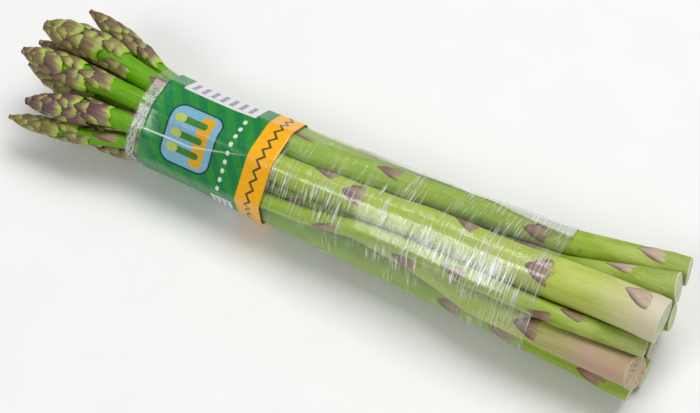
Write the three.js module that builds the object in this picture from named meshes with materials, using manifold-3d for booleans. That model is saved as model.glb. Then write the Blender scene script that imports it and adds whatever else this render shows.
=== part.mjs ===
import * as THREE from "three";
import Module from "manifold-3d";

// A bundle of asparagus lying on its side, in a clear film with a printed sleeve.
// Millimetres, +X towards the cut ends, +Z up.

// Driving dimensions
const sleeveStart = -72;
const sleeveEnd = -19.3;
const filmStart = -77.5;
const filmEnd = 89.7;
const filmClearance = 0.55;
const filmWall = 0.4;
const sleeveClearance = 0.3;
const sleeveWall = 0.4;
const wrapSides = 28;
const stemSides = 10;
const stemGap = 0.75;
const mouthRoom = 1.6;
const carriedShare = 0.6;

// An oblique cut faces upwards and a little to the near side, in the YZ plane
const cutFacing = [-0.478, 0.878];
const goldenAngle = THREE.MathUtils.degToRad(137.5);

// The cross-section is laid out on two axes that lean away from the vertical:
// "across" and "outward". Their directions in the YZ plane are these.
const acrossAxis = [0.863, 0.506];
const outwardAxis = [-0.506, 0.863];

// Planned cross-sections along the bundle and the wrapped radius at each
const planX = [-79, -23, 30, 86, 128];
const wrappedRadius = [17.9, 18.8, 20.8, 23.3, 27];

// Planes in which the spears are settled side by side
const settleX = [-79, -72, -46, -19.3, -1, 20, 43, 66, 89.7, 109];
const headX = [-91, -100, -107, -115, -125];

// Height of the lowest stem's underside above the table, along the bundle
const restX = [-79, sleeveEnd, 20, 140];
const sleeveRest = filmClearance + filmWall + sleeveClearance + sleeveWall;
const filmRest = filmClearance + filmWall;
const headFloor = 0.9;
const restHeight = [sleeveRest, sleeveRest, filmRest, filmRest];

// Each spear: tip as [x, across, outward], cut end x, then at the planned sections
// its radius and its place across and outward; cutSlope is for an oblique cut
const spearPlans = [
  {
    tip: [-128.5, 2.8, 16.5], cut: 131.5, headLength: 42, blunt: 0.35, turn: 0.3,
    radius: [3.9, 5.2, 6.3, 7.5, 7.9],
    across: [3.0, 1.5, 2.9, 4.3, 4.2],
    outward: [13.0, 13.2, 14.0, 15.4, 15.8],
    lowerBracts: [[134, 0.75], [146.5, 1.75], [189, 0.8], [220, 1.95], [255, 1.2]],
  },
  {
    tip: [-126.5, 14.2, 11], cut: 131.5, headLength: 36, blunt: 1, turn: 1.9,
    radius: [4.2, 4.5, 4.8, 5.1, 5.2],
    across: [12.4, 11.2, 14.6, 18.2, 24.5],
    outward: [4.8, 8.0, 4.6, -1.8, -4.0],
    lowerBracts: [[116, 0.4], [152, 1.2], [208, 2.1], [249.5, 1.35]],
  },
  {
    tip: [-119.5, -14.4, 15.5], cut: 129.5, headLength: 38, blunt: 0.45, turn: 3.1,
    cutSlope: 0.45,
    radius: [3.7, 4.3, 5.0, 5.9, 6.1],
    across: [-6.2, -6.1, -8.6, -12.6, -14.8],
    outward: [12.4, 5.6, 6.6, 7.6, 6.4],
    lowerBracts: [[115, 2.9], [163.5, 2.7], [213.5, 2.2]],
  },
  {
    tip: [-125.5, -22.6, 10], cut: 129.5, headLength: 35, blunt: 0, turn: 4.4,
    radius: [2.6, 2.9, 3.2, 3.4, 3.6],
    across: [-13.0, -11.7, -8.4, -6.7, -5.8],
    outward: [6.6, 11.0, 14.4, 15.6, 10.4],
    lowerBracts: [[137.5, 2.9], [189, 2.25], [223, 2.8], [232.5, 1.3]],
  },
  {
    tip: [-107, -12.5, -2], cut: 130, headLength: 34, blunt: 0.2, turn: 0.9,
    radius: [3.9, 4.6, 5.0, 5.4, 5.5],
    across: [-11.2, -14.3, -16.3, -18.2, -20.8],
    outward: [-1.2, 1.4, -0.2, -3.0, -4.6],
    lowerBracts: [[128, 4.4], [171, 2.6], [192, 2.8], [227, 2.6]],
  },
  {
    tip: [-116, 26.4, 2], cut: 130.5, headLength: 33, blunt: 0, turn: 2.2,
    radius: [2.8, 3.4, 3.8, 4.2, 4.4],
    across: [16.0, 15.6, 16.2, 14.8, 15.5],
    outward: [-2.0, 1.0, -4.6, -12.0, -14.0],
    lowerBracts: [[129, 0.6], [166, 1.4], [205, 5.1]],
  },
  {
    tip: [-107, 16.4, -6], cut: 131, headLength: 35, blunt: 0.2, turn: 5.1,
    radius: [3.8, 4.2, 4.5, 4.8, 5.0],
    across: [11.0, 12.8, 10.8, 6.4, 6.0],
    outward: [-7.0, -7.0, -12.0, -17.4, -19.0],
  },
  {
    tip: [-116.5, -8.2, 2.5], cut: 131.5, headLength: 34, blunt: 0.1, turn: 2.8,
    radius: [3.9, 4.4, 4.8, 5.1, 5.2],
    across: [-10.2, -11.3, -12.3, -13.4, -15.2],
    outward: [-8.7, -8.4, -10.4, -12.8, -14.6],
  },
  {
    tip: [-122, -2.5, -6.5], cut: 129.5, headLength: 37, blunt: 0.1, turn: 0.1,
    radius: [4.0, 4.5, 4.9, 5.2, 5.3],
    across: [-2.6, -3.0, -3.0, -4.0, -4.6],
    outward: [-13.1, -13.7, -15.4, -17.6, -19.0],
  },
  {
    tip: [-123, 6.6, -6], cut: 132.5, headLength: 34, blunt: 0, turn: 3.7,
    radius: [3.6, 4.2, 4.7, 5.1, 5.2],
    across: [5.3, 6.1, 3.4, 2.2, 7.4],
    outward: [-12.4, -12.5, -6.8, -7.8, -6.0],
  },
  {
    tip: [-129.5, 7.4, 4.5], cut: 131, headLength: 36, blunt: 0, turn: 5.6,
    radius: [3.6, 4.1, 4.7, 5.3, 5.5],
    across: [3.9, 4.0, 5.4, 9.2, 17.8],
    outward: [3.3, 1.6, 2.2, 2.6, 5.4],
    lowerBracts: [[128, 1.9], [170, 4.3], [211.5, 0.9], [246, 1.0]],
  },
  {
    tip: [-129, -0.6, 5.5], cut: 130.5, headLength: 39, blunt: 0, turn: 4.9,
    radius: [3.6, 4.1, 4.7, 5.1, 5.2],
    across: [-4.2, -3.7, -5.0, -3.4, -3.6],
    outward: [1.2, -4.0, -2.6, 1.0, 0.4],
  },
];

// Bracts: how far from the tip each one is rooted. They turn by the golden angle. Past
// lowerStem a spear may give its own list, each as [from the tip, angle round the stem]
const bractRoots = [
  2.5, 4.5, 6.5, 9, 11.5, 14.5, 17.5, 21, 24.5, 28.5, 33, 38, 45, 56, 72, 97, 130, 172, 216,
];
const lowerStem = 110;
const headBractHalfAngle = 0.95;
const stemBractHalfAngle = 0.66;
const bractRootDepth = 1.3;
const headBractRise = 1.25;
const stemBractRise = 0.36;

// Head outline: share of the head's length from the tip, share of the neck's radius
const headShare = [0, 0.07, 0.2, 0.42, 0.65, 0.85, 1];
const pointedHead = [0.22, 0.48, 0.78, 1.04, 1.14, 1.08, 1];
const bluntHead = [0.42, 0.74, 1.0, 1.2, 1.24, 1.12, 1];

const stemGreen = new THREE.MeshStandardMaterial({ color: 0x8fae4e, roughness: 0.55 });
const filmClear = new THREE.MeshStandardMaterial({
  color: 0xe8efe6, roughness: 0.15, transparent: true, opacity: 0.25,
});
const sleevePaper = new THREE.MeshStandardMaterial({ color: 0x2f7d46, roughness: 0.4 });

const wasm = await Module();
wasm.setup();

// Smooth curve through hand-set values
function smoothAlong(places, values, x) {
  const last = places.length - 1;
  const held = Math.min(Math.max(x, places[0]), places[last]);
  let i = 0;
  while (i < last - 1 && held > places[i + 1]) i += 1;
  const slope = (k) => {
    const a = Math.max(k - 1, 0);
    const b = Math.min(k + 1, last);
    return (values[b] - values[a]) / (places[b] - places[a]);
  };
  const span = places[i + 1] - places[i];
  const t = (held - places[i]) / span;
  const t2 = t * t;
  const t3 = t2 * t;
  return (2 * t3 - 3 * t2 + 1) * values[i]
    + (t3 - 2 * t2 + t) * span * slope(i)
    + (3 * t2 - 2 * t3) * values[i + 1]
    + (t3 - t2) * span * slope(i + 1);
}

function straightAlong(places, values, x) {
  const last = places.length - 1;
  let i = 0;
  while (i < last - 1 && x > places[i + 1]) i += 1;
  const share = (x - places[i]) / (places[i + 1] - places[i]);
  const t = Math.min(Math.max(share, 0), 1);
  return values[i] + (values[i + 1] - values[i]) * t;
}

// Radius of a spear's body at x
function bodyRadius(plan, x) {
  const neck = smoothAlong(planX, plan.radius, x);
  const share = (x - plan.tip[0]) / plan.headLength;
  if (share >= 1) return neck;
  const pointed = straightAlong(headShare, pointedHead, share);
  const blunt = straightAlong(headShare, bluntHead, share);
  return neck * (pointed + (blunt - pointed) * plan.blunt);
}

// Room that a spear's bracts need round its body at x
function bractRoom(plan, x) {
  const fromTip = x - plan.tip[0];
  return straightAlong([0, 32, 44, 48], [1.1, 1.1, 0.5, 0], fromTip);
}

// Push the spears of one cross-section apart until none touches another, goes below the
// floor or leaves the wrap; each starts from its plan, shifted as in the section before
function settleSection(x, shifts, floor) {
  const circles = spearPlans.filter((plan) => x >= plan.tip[0]).map((plan) => {
    const places = [plan.tip[0], ...planX];
    const plannedAcross = smoothAlong(places, [plan.tip[1], ...plan.across], x);
    const plannedOutward = smoothAlong(places, [plan.tip[2], ...plan.outward], x);
    const [shiftAcross, shiftOutward] = shifts.get(plan) || [0, 0];
    return {
      plan,
      plannedAcross,
      plannedOutward,
      across: plannedAcross + carriedShare * shiftAcross,
      outward: plannedOutward + carriedShare * shiftOutward,
      radius: bodyRadius(plan, x) + bractRoom(plan, x),
    };
  });
  const wrapped = x <= filmEnd && x >= planX[0];
  const limit = smoothAlong(planX, wrappedRadius, x) + (x < filmStart ? mouthRoom : 0);
  for (let round = 0; round < 500; round += 1) {
    for (let i = 0; i < circles.length; i += 1) {
      for (let j = i + 1; j < circles.length; j += 1) pushApart(circles[i], circles[j]);
      const c = circles[i];
      const reach = Math.hypot(c.across, c.outward);
      const most = limit - c.radius;
      if (wrapped && reach > most) {
        c.across *= most / reach;
        c.outward *= most / reach;
      }
      const underside = acrossAxis[1] * c.across + outwardAxis[1] * c.outward - c.radius;
      const sunk = Math.max(floor - underside, 0);
      c.across += acrossAxis[1] * sunk;
      c.outward += outwardAxis[1] * sunk;
    }
  }
  return circles;
}

function pushApart(a, b) {
  const da = b.across - a.across;
  const dw = b.outward - a.outward;
  const distance = Math.hypot(da, dw);
  const short = a.radius + b.radius + stemGap - distance;
  if (short <= 0) return;
  const push = short / 2 / distance;
  a.across -= da * push;
  a.outward -= dw * push;
  b.across += da * push;
  b.outward += dw * push;
}

// Lift that puts the lowest stem of a section on its rest height
function sectionLift(circles, x) {
  const undersides = circles.map((c) => {
    const height = acrossAxis[1] * c.across + outwardAxis[1] * c.outward;
    return height - bodyRadius(c.plan, x);
  });
  return straightAlong(restX, restHeight, x) - Math.min(...undersides);
}

// Centre line of every spear, as points on the settled planes and in the head
function layCentreLines() {
  const lines = spearPlans.map(() => []);
  const place = (plan, x, circle, lift) => {
    const y = acrossAxis[0] * circle.across + outwardAxis[0] * circle.outward;
    const z = acrossAxis[1] * circle.across + outwardAxis[1] * circle.outward + lift;
    lines[spearPlans.indexOf(plan)].push(new THREE.Vector3(x, y, z));
  };
  const cutPlane = planX[planX.length - 1];
  const settleOutwards = (planes, floor, liftFor) => {
    const shifts = new Map();
    for (const x of planes) {
      if (x === cutPlane) shifts.clear();
      const circles = settleSection(x, shifts, x < settleX[0] ? floor : -Infinity);
      const lift = liftFor(circles, x);
      for (const c of circles) {
        if (x - c.plan.tip[0] > 4) place(c.plan, x === cutPlane ? c.plan.cut : x, c, lift);
        shifts.set(c.plan, [c.across - c.plannedAcross, c.outward - c.plannedOutward]);
      }
    }
    return shifts;
  };
  const fromSleeveEnd = settleX.filter((x) => x >= sleeveEnd);
  settleOutwards([...fromSleeveEnd, cutPlane], 0, sectionLift);
  const sleeveLift = sectionLift(settleSection(sleeveEnd, new Map(), -Infinity), sleeveEnd);
  const toTips = [sleeveEnd, ...settleX.filter((x) => x < sleeveEnd).reverse(), ...headX];
  let mouthLift = sleeveLift;
  lines.forEach((line) => line.shift());
  const shifts = settleOutwards(toTips, headFloor - sleeveLift, (circles, x) => {
    if (x >= settleX[0]) mouthLift = sectionLift(circles, x);
    return mouthLift;
  });
  spearPlans.forEach((plan) => {
    const [shiftAcross, shiftOutward] = shifts.get(plan);
    const tip = { across: plan.tip[1] + shiftAcross, outward: plan.tip[2] + shiftOutward };
    place(plan, plan.tip[0], tip, mouthLift);
  });
  return lines.map((line) => line.sort((a, b) => a.x - b.x));
}

// Point on a centre line at x: curved in the head, straight from plane to plane beyond it
function lineAt(line, x) {
  const places = line.map((point) => point.x);
  const along = x < settleX[0] ? smoothAlong : straightAlong;
  const y = along(places, line.map((point) => point.y), x);
  const z = along(places, line.map((point) => point.z), x);
  return new THREE.Vector3(x, y, z);
}

// Local axes of a spear at x: towards the tip, and two across it
function axesAt(line, x) {
  const ahead = lineAt(line, x - 1.5);
  const behind = lineAt(line, x + 1.5);
  const toTip = ahead.sub(behind);
  if (toTip.lengthSq() < 1e-6) toTip.set(-1, 0, 0);
  toTip.normalize();
  const side = new THREE.Vector3(0, 1, 0).addScaledVector(toTip, -toTip.y).normalize();
  const over = new THREE.Vector3().crossVectors(side, toTip).normalize();
  if (over.z < 0) over.negate();
  return { toTip, side, over };
}

function skinPoint(line, x, angle, radius) {
  const { side, over } = axesAt(line, x);
  const centre = lineAt(line, x);
  centre.addScaledVector(side, Math.cos(angle) * radius);
  centre.addScaledVector(over, Math.sin(angle) * radius);
  return centre;
}

// Closed solid from rings of equal count, with flat ends
function solidFromRings(rings) {
  const count = rings[0].length;
  const points = rings.flat();
  const faces = [];
  for (let i = 0; i + 1 < rings.length; i += 1) {
    for (let k = 0; k < count; k += 1) {
      const a = i * count + k;
      const b = i * count + (k + 1) % count;
      faces.push([a, b, b + count], [a, b + count, a + count]);
    }
  }
  const far = (rings.length - 1) * count;
  for (let k = 1; k + 1 < count; k += 1) {
    faces.push([0, k + 1, k], [far, far + k, far + k + 1]);
  }
  return manifoldFrom(points, faces);
}

function manifoldFrom(points, faces) {
  const vertProperties = new Float32Array(points.flatMap((p) => [p.x, p.y, p.z]));
  let volume = 0;
  for (const [a, b, c] of faces) {
    volume += points[a].dot(new THREE.Vector3().crossVectors(points[b], points[c]));
  }
  const wound = volume > 0 ? faces : faces.map(([a, b, c]) => [a, c, b]);
  const triVerts = new Uint32Array(wound.flat());
  return new wasm.Manifold(new wasm.Mesh({ numProp: 3, vertProperties, triVerts }));
}

// Body of a spear from its tip to its cut end
function stemBody(plan, line) {
  const headSteps = [0, 0.07, 0.2, 0.42, 0.65, 1].map((s) => plan.tip[0] + s * plan.headLength);
  const beforeFilm = headSteps.filter((x) => x < settleX[0] - 1.5);
  const stations = [...beforeFilm, ...settleX, plan.cut];
  const rings = stations.map((x) => {
    const radius = bodyRadius(plan, x);
    const ring = [];
    for (let k = 0; k < stemSides; k += 1) {
      const angle = (2 * Math.PI * (k + 0.25)) / stemSides;
      if (x >= planX[0]) {
        const centre = lineAt(line, x);
        const offY = Math.cos(angle) * radius;
        const offZ = Math.sin(angle) * radius;
        const slope = x === plan.cut ? plan.cutSlope || 0 : 0;
        const along = x - slope * (offY * cutFacing[0] + offZ * cutFacing[1]);
        ring.push(new THREE.Vector3(along, centre.y + offY, centre.z + offZ));
      } else {
        ring.push(skinPoint(line, x, angle, radius));
      }
    }
    return ring;
  });
  return solidFromRings(rings);
}

// Place from the tip and angle round the stem of each of a spear's bracts
function bractPlaces(plan) {
  const spiral = bractRoots.map((root, index) => [root, plan.turn + index * goldenAngle]);
  if (!plan.lowerBracts) return spiral;
  return [...spiral.filter(([root]) => root < lowerStem), ...plan.lowerBracts];
}

// One bract: a keeled pointed scale rooted in the stem, its point towards the spear's tip
function bract(plan, line, rootFromTip, middle) {
  const rootX = plan.tip[0] + rootFromTip;
  const length = Math.min(2.8 + 0.5 * rootFromTip, 10.5);
  const wrapped = rootX > filmStart - 1;
  const inHead = wrapped ? 0 : straightAlong([0, 32, 46], [1, 1, 0], rootFromTip);
  const rise = stemBractRise + (headBractRise - stemBractRise) * inHead;
  const halfAngle = stemBractHalfAngle + (headBractHalfAngle - stemBractHalfAngle) * inHead;
  const onSkin = (along, turn, lift) => {
    const x = rootX - along * length;
    const radius = bodyRadius(plan, Math.max(x, plan.tip[0]));
    return skinPoint(line, x, middle + turn, Math.max(radius + lift, 0.12));
  };
  const widest = inHead > 0.5 ? 0.5 : 0.3;
  const tipX = rootX - length;
  const towardsEnd = Math.min(Math.max((tipX - plan.tip[0]) / 9, 0), 1);
  const beyond = Math.max(plan.tip[0] - tipX, 0);
  const heel = onSkin(0, 0, -0.3);
  const left = onSkin(widest, -halfAngle, rise * 0.3);
  const right = onSkin(widest, halfAngle, rise * 0.3);
  const keel = onSkin(widest + 0.05, 0, rise);
  const point = onSkin(1, 0, rise * 0.85 * towardsEnd - beyond * 0.5);
  const root = onSkin(widest, 0, -bractRootDepth);
  const points = [heel, left, right, keel, point, root];
  const faces = [
    [0, 1, 3], [0, 3, 2], [1, 4, 3], [3, 4, 2],
    [0, 5, 1], [0, 2, 5], [1, 5, 4], [5, 2, 4],
  ];
  return manifoldFrom(points, faces);
}

// The largest closed shell of a solid, without specks or sealed pockets
function outerShell(solid) {
  let best = null;
  for (const shell of solid.decompose()) {
    if (!best || shell.volume() > best.volume()) best = shell;
  }
  return best;
}

function spearSolid(plan, line) {
  let solid = stemBody(plan, line);
  bractPlaces(plan).forEach(([root, middle]) => {
    solid = solid.add(bract(plan, line, root, middle));
  });
  return outerShell(solid).simplify(0.03);
}

// Wrap tube: flat-sided, drawn round the stems at every station
function supportAt(lines, x, angle) {
  const reaches = spearPlans.map((plan, index) => {
    const centre = lineAt(lines[index], x);
    const reach = centre.y * Math.cos(angle) + centre.z * Math.sin(angle);
    return reach + bodyRadius(plan, x);
  });
  return Math.max(...reaches);
}

function wrapRing(lines, x, offset) {
  const angles = [];
  for (let k = 0; k < wrapSides; k += 1) angles.push((2 * Math.PI * k) / wrapSides - Math.PI / 2);
  const inner = settleX.filter((s) => s >= filmStart - 2 && s <= filmEnd);
  const reaches = angles.map((angle) => {
    const values = inner.map((s) => supportAt(lines, s, angle));
    return straightAlong(inner, values, x) + offset;
  });
  return angles.map((angle, k) => {
    const next = (k + 1) % wrapSides;
    const other = angles[next];
    const turn = Math.sin(other - angle);
    const y = (reaches[k] * Math.sin(other) - reaches[next] * Math.sin(angle)) / turn;
    const z = (reaches[next] * Math.cos(angle) - reaches[k] * Math.cos(other)) / turn;
    return new THREE.Vector3(x, y, z);
  });
}

function wrapTube(lines, start, end, offset, wall) {
  const inside = settleX.filter((x) => x > start + 1 && x < end - 1);
  const stations = [start, ...inside, end];
  const outer = stations.map((x) => wrapRing(lines, x, offset + wall));
  const inner = stations.map((x) => wrapRing(lines, x, offset));
  const points = [...outer.flat(), ...inner.flat()];
  const far = stations.length - 1;
  const innerStart = stations.length * wrapSides;
  const faces = [];
  const quad = (a, b, c, d) => faces.push([a, b, c], [a, c, d]);
  for (let k = 0; k < wrapSides; k += 1) {
    const n = (k + 1) % wrapSides;
    for (let i = 0; i < far; i += 1) {
      const a = i * wrapSides;
      const b = (i + 1) * wrapSides;
      quad(a + k, a + n, b + n, b + k);
      quad(innerStart + a + n, innerStart + a + k, innerStart + b + k, innerStart + b + n);
    }
    const e = far * wrapSides;
    quad(k, innerStart + k, innerStart + n, n);
    quad(e + n, innerStart + e + n, innerStart + e + k, e + k);
  }
  return manifoldFrom(points, faces);
}

// Triangle mesh of a solid, moved so that the bundle is centred
function meshFrom(solid, name, material, shift) {
  const { vertProperties, triVerts, numProp } = solid.getMesh();
  const positions = new Float32Array((vertProperties.length / numProp) * 3);
  for (let i = 0; i < positions.length / 3; i += 1) {
    positions[3 * i] = vertProperties[numProp * i] + shift.x;
    positions[3 * i + 1] = vertProperties[numProp * i + 1] + shift.y;
    positions[3 * i + 2] = vertProperties[numProp * i + 2];
  }
  const geometry = new THREE.BufferGeometry();
  geometry.setAttribute("position", new THREE.BufferAttribute(positions, 3));
  geometry.setIndex(new THREE.BufferAttribute(new Uint32Array(triVerts), 1));
  geometry.computeVertexNormals();
  const mesh = new THREE.Mesh(geometry, material);
  mesh.name = name;
  return mesh;
}

const lines = layCentreLines();
const pieces = spearPlans.map((plan, index) => ({
  name: `spear_${String(index + 1).padStart(2, "0")}`,
  solid: spearSolid(plan, lines[index]),
  material: stemGreen,
}));
pieces.push({
  name: "film",
  solid: wrapTube(lines, filmStart, filmEnd, filmClearance, filmWall),
  material: filmClear,
});
pieces.push({
  name: "label",
  solid: wrapTube(
    lines, sleeveStart, sleeveEnd, filmClearance + filmWall + sleeveClearance, sleeveWall,
  ),
  material: sleevePaper,
});

const extent = new THREE.Box3();
for (const piece of pieces) {
  const { min, max } = piece.solid.boundingBox();
  extent.expandByPoint(new THREE.Vector3(...min));
  extent.expandByPoint(new THREE.Vector3(...max));
}
const shift = extent.getCenter(new THREE.Vector3()).negate();

const bundle = new THREE.Group();
bundle.name = "asparagus_bundle";
for (const piece of pieces) {
  bundle.add(meshFrom(piece.solid, piece.name, piece.material, shift));
}

export default bundle;
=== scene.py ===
"""A bundle of green asparagus in clear film and a printed sleeve, dressed for rendering.

Lengths in the classes are millimetres. +X runs from the tips to the cut ends, +Z is up.
"""

import logging
import math
import random
from dataclasses import dataclass, field
from enum import Enum
from typing import Any, Callable, ClassVar, Sequence, Union

import bmesh
import bpy
import numpy as np
from mathutils import Matrix, Vector, noise


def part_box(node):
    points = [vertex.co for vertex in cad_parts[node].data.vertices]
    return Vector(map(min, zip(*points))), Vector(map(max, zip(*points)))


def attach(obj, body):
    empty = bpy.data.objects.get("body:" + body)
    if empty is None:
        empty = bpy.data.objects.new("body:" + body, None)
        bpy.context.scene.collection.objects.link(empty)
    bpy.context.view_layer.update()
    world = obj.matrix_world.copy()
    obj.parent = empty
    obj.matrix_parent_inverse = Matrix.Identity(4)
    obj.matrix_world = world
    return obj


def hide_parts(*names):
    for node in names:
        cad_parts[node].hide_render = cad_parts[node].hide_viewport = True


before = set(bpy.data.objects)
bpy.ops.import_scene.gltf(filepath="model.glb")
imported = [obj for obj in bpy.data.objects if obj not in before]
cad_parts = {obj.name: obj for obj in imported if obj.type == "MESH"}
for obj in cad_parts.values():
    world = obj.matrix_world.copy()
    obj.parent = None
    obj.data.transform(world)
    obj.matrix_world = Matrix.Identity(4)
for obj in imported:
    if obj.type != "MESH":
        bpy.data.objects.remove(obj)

LOG = logging.getLogger("asparagus")
MM = 0.001
BODY = "root"
GOLDEN_ANGLE = math.radians(137.5)

# Millimetres from a spear's tip: bracts past the first stand where the photo shows them, those
# past the second are bleached, and the third is the length that a stem's UV map spans
LOWER_STEM = 110.0
LAST_BRACT = 240.0
STEM_CHART = 270.0

# Sections where a spear's radius is given, the wrap's tip-side edge, the way that an oblique cut
# faces, the heads' outlines and the bracts' distances from the tip, as in the part
PLAN_X = (-79.0, -23.0, 30.0, 86.0, 128.0)
FILM_START = -77.5
CUT_FACING = (-0.478, 0.878)
HEAD_SHARE = (0.0, 0.07, 0.2, 0.42, 0.65, 0.85, 1.0)
POINTED_HEAD = (0.22, 0.48, 0.78, 1.04, 1.14, 1.08, 1.0)
BLUNT_HEAD = (0.42, 0.74, 1.0, 1.2, 1.24, 1.12, 1.0)
BRACT_ROOTS = (
    2.5, 4.5, 6.5, 9.0, 11.5, 14.5, 17.5, 21.0, 24.5, 28.5,
    33.0, 38.0, 45.0, 56.0, 72.0, 97.0, 130.0, 172.0, 216.0,
)


def linear(code: str) -> tuple[float, float, float, float]:
    """Turns an sRGB hex colour into the linear values that shaders take.

    Args:
        code: Colour such as "#7fb02a".

    Returns:
        Linear red, green and blue, and 1 for alpha.
    """
    parts = [int(code[i:i + 2], 16) / 255 for i in (1, 3, 5)]
    red, green, blue = (p / 12.92 if p <= 0.04045 else ((p + 0.055) / 1.055) ** 2.4 for p in parts)
    return red, green, blue, 1.0


def blended(first: str, second: str, share: float) -> str:
    """Mixes two hex colours; share 0 gives the first and 1 the second.

    Args:
        first: Hex colour.
        second: Hex colour.
        share: How much of the second there is.

    Returns:
        The mixed hex colour.
    """
    a = [int(first[i:i + 2], 16) for i in (1, 3, 5)]
    b = [int(second[i:i + 2], 16) for i in (1, 3, 5)]
    return "#" + "".join(f"{round(p + (q - p) * share):02x}" for p, q in zip(a, b))


def add_node(
    tree: bpy.types.NodeTree,
    kind: str,
    inputs: Union[dict[Any, Any], Sequence[Any]] = (),
    stops: Sequence[tuple[float, str]] = (),
    **settings: Any,
) -> bpy.types.Node:
    """Adds one shader node with its settings and links.

    Args:
        tree: Node tree that gets the node.
        kind: Node type's name, without "ShaderNode".
        inputs: Values of the inputs in order, or by input name or number. A node or socket is
            linked, and a hex colour is turned into a linear one.
        stops: Places and hex colours of a colour ramp.
        settings: Other properties of the node.

    Returns:
        The new node.
    """
    node = tree.nodes.new("ShaderNode" + kind)
    for name, value in settings.items():
        setattr(node, name, value)
    given = inputs.items() if isinstance(inputs, dict) else enumerate(inputs)
    for key, value in given:
        if isinstance(value, bpy.types.Node):
            value = value.outputs[0]
        if isinstance(value, bpy.types.NodeSocket):
            tree.links.new(value, node.inputs[key])
        else:
            node.inputs[key].default_value = linear(value) if isinstance(value, str) else value
    if stops:
        elements = node.color_ramp.elements
        while len(elements) < len(stops):
            elements.new(0.5)
        for element, (place, code) in zip(elements, stops):
            element.position = place
            element.color = linear(code)
    return node


def nearness(
    tree: bpy.types.NodeTree,
    place: Any,
    line: Any,
    reach: tuple[float, float],
    values: tuple[float, float] = (1.0, 0.0),
) -> bpy.types.Node:
    """Adds the nodes whose value changes with the distance from a line.

    Args:
        tree: Node tree that gets the nodes.
        place: Node or socket with the place.
        line: Place of the line, as a number, node or socket.
        reach: Distances where the change begins and ends.
        values: Values up to the first distance and past the second.

    Returns:
        The last node.
    """
    away = add_node(tree, "Math", [place, line], operation="SUBTRACT")
    apart = add_node(tree, "Math", [away], operation="ABSOLUTE")
    return add_node(tree, "MapRange", [apart, *reach, *values])


def along_line(places: Sequence[float], values: Sequence[float], at: float) -> float:
    """Value at a place, read straight between given places and held at the ends.

    Args:
        places: Rising places.
        values: Their values.
        at: The place.

    Returns:
        The value there.
    """
    if at <= places[0]:
        return values[0]
    for i in range(1, len(places)):
        if at < places[i]:
            share = (at - places[i - 1]) / (places[i] - places[i - 1])
            return values[i - 1] + (values[i] - values[i - 1]) * share
    return values[-1]


def eased(places: Sequence[float], values: Sequence[float], at: float) -> float:
    """Value at a place on a smooth curve through given values (Hermite, mean slopes).

    Args:
        places: Rising places.
        values: Their values.
        at: The place.

    Returns:
        The value there.
    """
    last = len(places) - 1
    held = min(max(at, places[0]), places[last])
    i = 0
    while i < last - 1 and held > places[i + 1]:
        i += 1

    def slope(k: int) -> float:
        """Slope of the curve at a given place."""
        low, high = max(k - 1, 0), min(k + 1, last)
        return (values[high] - values[low]) / (places[high] - places[low])

    span = places[i + 1] - places[i]
    t = (held - places[i]) / span
    return (
        (2 * t**3 - 3 * t**2 + 1) * values[i]
        + (t**3 - 2 * t**2 + t) * span * slope(i)
        + (3 * t**2 - 2 * t**3) * values[i + 1]
        + (t**3 - t**2) * span * slope(i + 1)
    )


def mapped_grid(
    mesh: bmesh.types.BMesh,
    columns: int,
    rows: int,
    place: Callable[[float, float], Vector],
    chart: Callable[[float, float], tuple[float, float]],
    material: int = 0,
    closed: bool = False,
) -> list[bmesh.types.BMFace]:
    """Adds a grid and lays it on a surface.

    Args:
        mesh: Mesh that gets the grid.
        columns: Faces across.
        rows: Faces along.
        place: Gives the point in millimetres at shares (across, along).
        chart: Gives the UV at shares (across, along).
        material: Material slot number of the faces.
        closed: Whether the first and last columns meet and are merged.

    Returns:
        The grid's faces.
    """
    made = bmesh.ops.create_grid(mesh, x_segments=columns, y_segments=rows, size=1.0)
    verts = made["verts"]
    faces = list(dict.fromkeys(f for v in verts for f in v.link_faces))
    uv = mesh.loops.layers.uv.verify()
    shares = {v: ((v.co.x + 1) / 2, (v.co.y + 1) / 2) for v in verts}
    for face in faces:
        face.smooth = True
        face.material_index = material
        for loop in face.loops:
            loop[uv].uv = chart(*shares[loop.vert])
    for vert, (across, along) in shares.items():
        vert.co = place(across, along) * MM
    if closed:
        bmesh.ops.remove_doubles(mesh, verts=verts, dist=1e-7)
        faces = [f for f in faces if f.is_valid]
    return faces


def finish_piece(
    mesh: bmesh.types.BMesh,
    name: str,
    materials: Sequence[bpy.types.Material],
    nodes: Sequence[str] = (),
) -> bpy.types.Object:
    """Turns a bmesh into a piece that rides on the bundle.

    Args:
        mesh: The finished mesh, freed here.
        name: Piece name.
        materials: Materials in slot order.
        nodes: CAD nodes that the piece stands for.

    Returns:
        The new object.
    """
    data = bpy.data.meshes.new(name)
    mesh.to_mesh(data)
    mesh.free()
    piece = bpy.data.objects.new(name, data)
    bpy.context.scene.collection.objects.link(piece)
    for material in materials:
        data.materials.append(material)
    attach(piece, BODY)
    if nodes:
        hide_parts(*nodes)
    LOG.info("%s: %d faces", name, len(data.polygons))
    return piece


class CutFace(Enum):
    """How a spear's cut end looks."""

    FRESH = "fresh"
    DRIED = "dried"


@dataclass(frozen=True)
class Finish:
    """How a surface looks; each kind adds its own nodes.

    Patterns in the object's own coordinates are given in grains per metre.
    """

    name: str

    def surface(self, tree: bpy.types.NodeTree) -> bpy.types.Node:
        """Adds the surface's nodes.

        Args:
            tree: Node tree of the material.

        Returns:
            The shader node that goes to the output.
        """
        raise NotImplementedError

    def material(self) -> bpy.types.Material:
        """Builds the material."""
        material = bpy.data.materials.new(self.name)
        material.use_nodes = True
        tree = material.node_tree
        tree.nodes.clear()
        add_node(tree, "OutputMaterial", [self.surface(tree)])
        return material


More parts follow.
